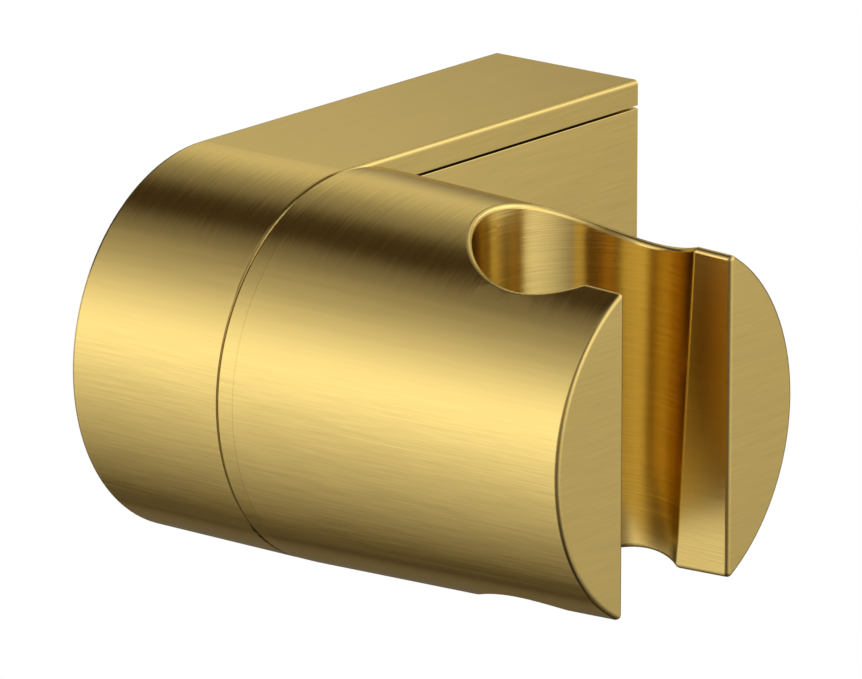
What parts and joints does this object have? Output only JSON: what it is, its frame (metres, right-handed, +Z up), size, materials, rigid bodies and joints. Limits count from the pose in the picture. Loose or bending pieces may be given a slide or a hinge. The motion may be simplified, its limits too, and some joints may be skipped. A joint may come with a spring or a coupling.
{
  "type": "hand shower holder",
  "caption": "Wall-mounted hand shower holder: flat-topped block with a half-round nose and a tilting round cradle with a conical socket and a hose slot.",
  "frame": {"origin": "middle of the wall face, level with the tilt axis", "axes": "+X along the tilt axis towards the cradle's open end, +Y into the wall, +Z up"},
  "size_m": [0.0607, 0.0677, 0.04],
  "materials": {
    "brushed_gold_cover": "brushed",
    "brushed_gold_side_plate": "brushed",
    "brushed_gold_cradle": "brushed",
    "bracket_steel": "plain",
    "screw_steel": "plain",
    "spring_steel": "dark",
    "bush_plastic": "matte",
    "seal_rubber": "matte"
  },
  "bodies": {
    "wall_block": {"cover": "brushed_gold_cover", "side_plate": "brushed_gold_side_plate", "wall_bracket": "bracket_steel", "lower_plate_screw": "screw_steel", "upper_plate_screw": "screw_steel", "set_screw": "screw_steel", "outer_bush": "bush_plastic", "inner_bush": "bush_plastic", "seal_ring": "seal_rubber"},
    "cradle": {"cradle": "brushed_gold_cradle", "stop_pin": "screw_steel", "keyed_washer": "bracket_steel", "lock_washer": "spring_steel", "pivot_bolt": "screw_steel", "left_disc_spring": "spring_steel", "right_disc_spring": "spring_steel"}
  },
  "joints": [
    {"name": "cradle_tilt", "type": "hinge", "parent": "wall_block", "child": "cradle", "pos_m": [0, -0.0477, 0], "axis": [1, 0, 0], "range_deg": [-45, 45]}
  ]
}
